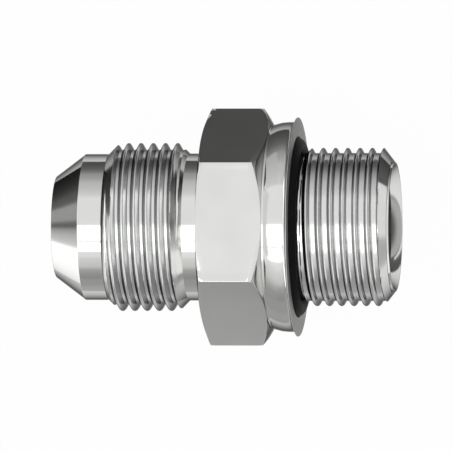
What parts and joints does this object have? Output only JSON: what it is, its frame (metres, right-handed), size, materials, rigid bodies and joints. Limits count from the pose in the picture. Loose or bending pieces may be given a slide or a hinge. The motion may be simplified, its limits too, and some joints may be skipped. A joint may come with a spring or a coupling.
{
  "type": "tube union",
  "caption": "Straight steel tube union with a flare cone end, a hexagon, and a parallel-thread stud end with a rubber seal ring in its flange.",
  "frame": {"origin": "on the bore's axis, in the plane of the flange's sealing face", "axes": "+X along the bore towards the stud end; two flats of the hexagon are square to Z"},
  "size_m": [0.0447, 0.0312, 0.0288],
  "materials": {
    "plated_steel": "bright plated turned steel",
    "seal_rubber": "smooth black nitrile rubber"
  },
  "bodies": {
    "root": {"body": "plated_steel", "seal_ring": "seal_rubber"}
  },
  "joints": []
}
